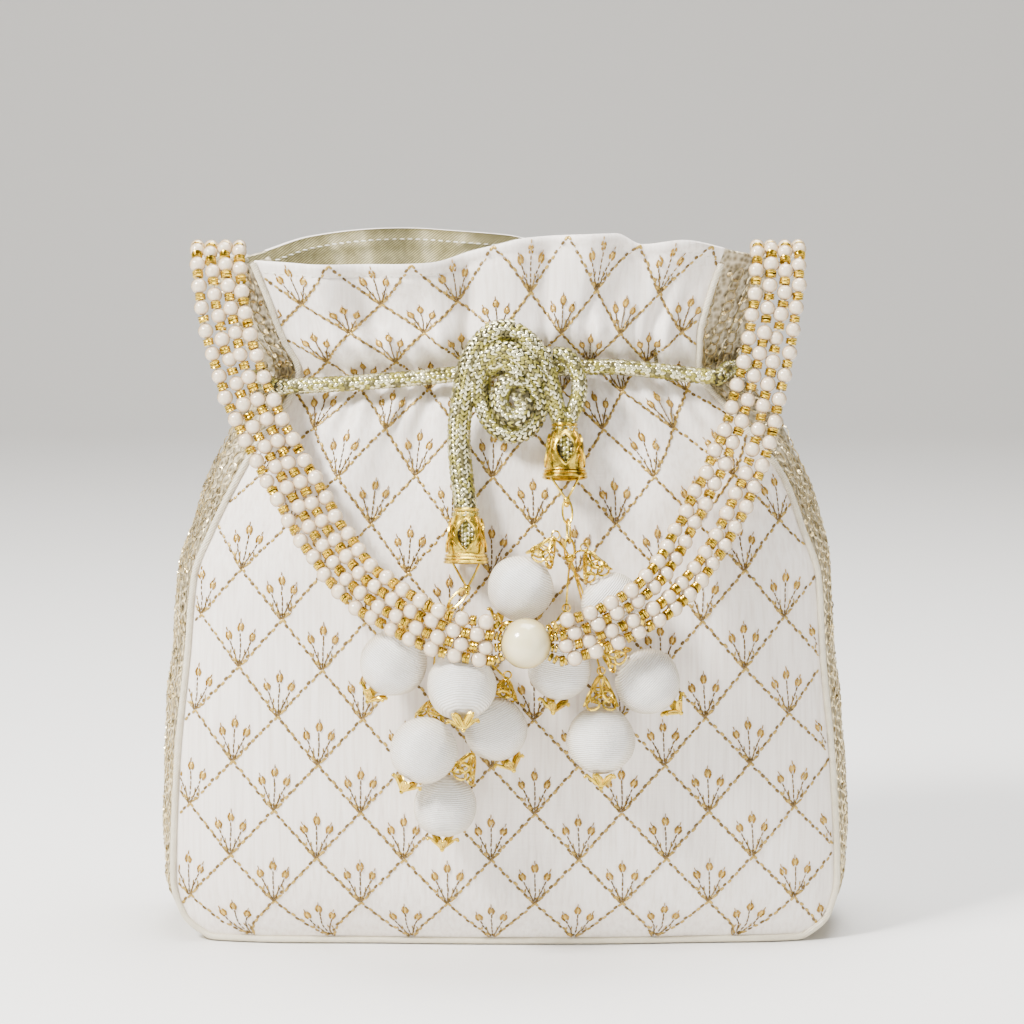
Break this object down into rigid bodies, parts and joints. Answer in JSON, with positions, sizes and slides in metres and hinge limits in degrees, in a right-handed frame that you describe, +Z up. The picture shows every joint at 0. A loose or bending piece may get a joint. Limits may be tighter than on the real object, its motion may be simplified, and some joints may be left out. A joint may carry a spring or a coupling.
{
  "type": "potli bag",
  "caption": "Embroidered drawstring potli bag with a beaded pearl handle, pleated neck, lace side gussets and two tassels of thread-wrapped balls.",
  "frame": {"origin": "middle of the underside of the base, at the height of the table", "axes": "+X to the right as seen from the front, -Y out of the embroidered front, +Z up"},
  "size_m": [0.2212, 0.1173, 0.2253],
  "materials": {
    "silk_panel": "soft sheen, embroidered",
    "lace": "metallic lace",
    "base_cloth": "matte",
    "board": "matte stiffener",
    "lining_satin": "satin",
    "piping_satin": "satin",
    "metallic_cord": "metallic knitted cord",
    "pearl": "pearlescent",
    "gilt": "polished gilt filigree",
    "silk_thread": "silk thread"
  },
  "bodies": {
    "bag": {"front_panel": "silk_panel", "back_panel": "silk_panel", "gusset_left": "lace", "gusset_right": "lace", "base_panel": "base_cloth", "base_board": "board", "lining": "lining_satin", "piping_front": "piping_satin", "piping_back": "piping_satin", "drawcord_neck": "metallic_cord", "drawcord_knot": "metallic_cord", "drawcord_tail_left": "metallic_cord", "drawcord_tail_right": "metallic_cord", "end_cap_left": "gilt", "handle_tab_left": "piping_satin", "end_cap_right": "gilt", "handle_tab_right": "piping_satin"},
    "handle": {"handle_strand_left_1": "pearl", "handle_strand_left_2": "pearl", "handle_strand_left_3": "pearl", "handle_strand_left_4": "pearl", "handle_strand_right_1": "pearl", "handle_strand_right_2": "pearl", "handle_strand_right_3": "pearl", "handle_strand_right_4": "pearl", "centre_pearl": "pearl"},
    "tassel_left": {"tassel_link_left": "gilt", "ball_left_1": "silk_thread", "bottom_cap_left_1": "gilt", "top_cap_left_1": "gilt", "ball_left_2": "silk_thread", "bottom_cap_left_2": "gilt", "top_cap_left_2": "gilt", "ball_left_3": "silk_thread", "bottom_cap_left_3": "gilt", "top_cap_left_3": "gilt", "ball_left_4": "silk_thread", "bottom_cap_left_4": "gilt", "top_cap_left_4": "gilt", "ball_left_5": "silk_thread", "bottom_cap_left_5": "gilt", "top_cap_left_5": "gilt"},
    "tassel_right": {"tassel_link_right": "gilt", "ball_right_1": "silk_thread", "bottom_cap_right_1": "gilt", "top_cap_right_1": "gilt", "ball_right_2": "silk_thread", "bottom_cap_right_2": "gilt", "top_cap_right_2": "gilt", "ball_right_3": "silk_thread", "bottom_cap_right_3": "gilt", "top_cap_right_3": "gilt", "ball_right_4": "silk_thread", "bottom_cap_right_4": "gilt", "top_cap_right_4": "gilt", "ball_right_5": "silk_thread", "bottom_cap_right_5": "gilt", "top_cap_right_5": "gilt"}
  },
  "joints": [
    {"name": "handle_swing", "type": "hinge", "parent": "bag", "child": "handle", "pos_m": [0, -0.0055, 0.2206], "axis": [-1, 0, 0], "range_deg": [0, 185]},
    {"name": "tassel_left_swing", "type": "hinge", "parent": "bag", "child": "tassel_left", "pos_m": [-0.0119, -0.0464, 0.1249], "axis": [0, 1, 0], "range_deg": [0, 10]},
    {"name": "tassel_right_swing", "type": "hinge", "parent": "bag", "child": "tassel_right", "pos_m": [0.0186, -0.0404, 0.1504], "axis": [0, 1, 0], "range_deg": [-8, 4]}
  ]
}
